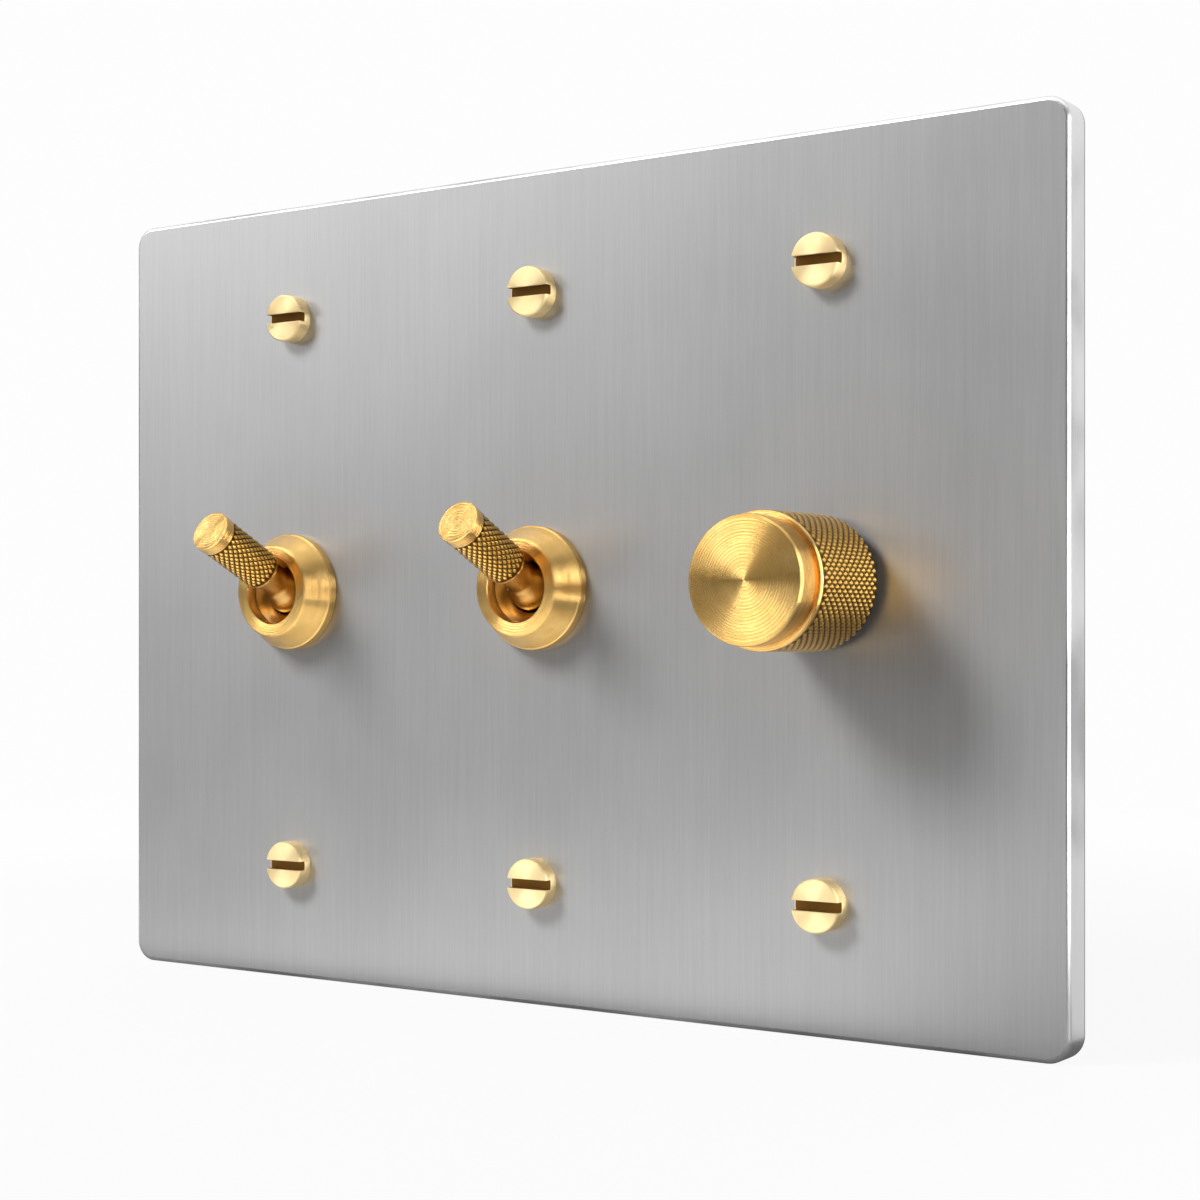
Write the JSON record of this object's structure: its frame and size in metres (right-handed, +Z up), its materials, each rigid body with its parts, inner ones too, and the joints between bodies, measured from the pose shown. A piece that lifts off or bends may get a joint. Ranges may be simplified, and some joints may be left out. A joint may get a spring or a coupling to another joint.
{
  "type": "toggle switch and dimmer plate",
  "caption": "Wide wall plate of brushed steel with knurled brass toggle levers, a knurled push-on rotary dimmer knob and slotted plate screws.",
  "frame": {"origin": "centre of the plate's back rim, in the plane of the wall", "axes": "+X to the right as seen from the front, +Y into the wall, +Z up; the plate faces -Y"},
  "size_m": [0.16, 0.0484, 0.118],
  "materials": {
    "plate_steel": "vertically brushed satin",
    "screw_brass": "satin turned",
    "yoke_steel": "zinc plated",
    "bezel_brass": "satin turned",
    "bush_brass": "satin turned",
    "pin_steel": "plain ground",
    "lever_brass": "polished turned",
    "grip_brass": "diamond knurled",
    "housing_black": "moulded",
    "base_black": "moulded",
    "rivet_steel": "plated",
    "terminal_brass": "stamped",
    "terminal_screw_steel": "plated",
    "carriage_nylon": "moulded",
    "contact_brass": "stamped",
    "spring_steel": "bright drawn",
    "yoke_aluminium": "mill finish",
    "knob_brass": "diamond knurled, spun face",
    "spindle_steel": "plain turned",
    "washer_steel": "plated",
    "nut_brass": "plain",
    "tub_black": "moulded",
    "board_green": "lacquered board",
    "rotor_nylon": "moulded",
    "push_block_grey": "moulded",
    "choke_copper": "enamelled winding",
    "capacitor_yellow": "dipped",
    "triac_black": "moulded"
  },
  "bodies": {
    "plate_unit": {"face_plate": "plate_steel", "plate_screws": "screw_brass", "toggle_yoke_left": "yoke_steel", "bezel_nut_left": "bezel_brass", "toggle_bush_left": "bush_brass", "pivot_pin_left": "pin_steel", "switch_housing_left": "housing_black", "switch_base_left": "base_black", "switch_rivets_left": "rivet_steel", "switch_terminals_left": "terminal_brass", "terminal_screws_left": "terminal_screw_steel", "toggle_yoke_middle": "yoke_steel", "bezel_nut_middle": "bezel_brass", "toggle_bush_middle": "bush_brass", "pivot_pin_middle": "pin_steel", "switch_housing_middle": "housing_black", "switch_base_middle": "base_black", "switch_rivets_middle": "rivet_steel", "switch_terminals_middle": "terminal_brass", "terminal_screws_middle": "terminal_screw_steel", "dimmer_yoke": "yoke_aluminium", "dimmer_bush": "bush_brass", "lock_washer": "washer_steel", "dimmer_nut": "nut_brass", "dimmer_tub": "tub_black", "dimmer_rivets": "rivet_steel", "dimmer_board": "board_green", "push_switch": "push_block_grey", "push_spring": "spring_steel", "choke_coil": "choke_copper", "film_capacitor": "capacitor_yellow", "triac": "triac_black", "dimmer_clamps": "terminal_brass", "clamp_screws": "terminal_screw_steel"},
    "toggle_left": {"toggle_lever_left": "lever_brass", "lever_grip_left": "grip_brass"},
    "carriage_left": {"slide_carriage_left": "carriage_nylon", "bridge_contact_left": "contact_brass", "detent_leaf_left": "spring_steel"},
    "toggle_middle": {"toggle_lever_middle": "lever_brass", "lever_grip_middle": "grip_brass"},
    "carriage_middle": {"slide_carriage_middle": "carriage_nylon", "bridge_contact_middle": "contact_brass", "detent_leaf_middle": "spring_steel"},
    "knob_unit": {"dimmer_knob": "knob_brass", "dimmer_spindle": "spindle_steel", "spindle_clip": "spring_steel"},
    "rotor_unit": {"dimmer_rotor": "rotor_nylon"},
    "push_unit": {"push_slider": "carriage_nylon"}
  },
  "joints": [
    {"name": "toggle_left_swing", "type": "hinge", "parent": "plate_unit", "child": "toggle_left", "pos_m": [-0.04604, -0.006, 0], "axis": [1, 0, 0], "range_deg": [0, 54]},
    {"name": "carriage_left_slide", "type": "slide", "parent": "plate_unit", "child": "carriage_left", "axis": [0, 0, 1], "range_m": [0, 0.00815]},
    {"name": "toggle_middle_swing", "type": "hinge", "parent": "plate_unit", "child": "toggle_middle", "pos_m": [0, -0.006, 0], "axis": [1, 0, 0], "range_deg": [0, 54]},
    {"name": "carriage_middle_slide", "type": "slide", "parent": "plate_unit", "child": "carriage_middle", "axis": [0, 0, 1], "range_m": [0, 0.00815]},
    {"name": "dimmer_push", "type": "slide", "parent": "plate_unit", "child": "push_unit", "axis": [0, 1, 0], "range_m": [0, 0.001], "stiffness_N_per_m": 1500, "springref_m": -0.0006, "deforming": ["push_spring"]},
    {"name": "dimmer_turn", "type": "hinge", "parent": "push_unit", "child": "knob_unit", "pos_m": [0.04604, -0.0064, 0], "axis": [0, 1, 0], "range_deg": [0, 270]},
    {"name": "rotor_turn", "type": "hinge", "parent": "plate_unit", "child": "rotor_unit", "pos_m": [0.04604, 0.005, 0], "axis": [0, 1, 0], "range_deg": [0, 270]}
  ],
  "couplings": [
    {"joint": "carriage_left_slide", "follows": "toggle_left_swing", "m_per_rad": 0.00865},
    {"joint": "carriage_middle_slide", "follows": "toggle_middle_swing", "m_per_rad": 0.00865},
    {"joint": "rotor_turn", "follows": "dimmer_turn", "ratio": 1}
  ]
}
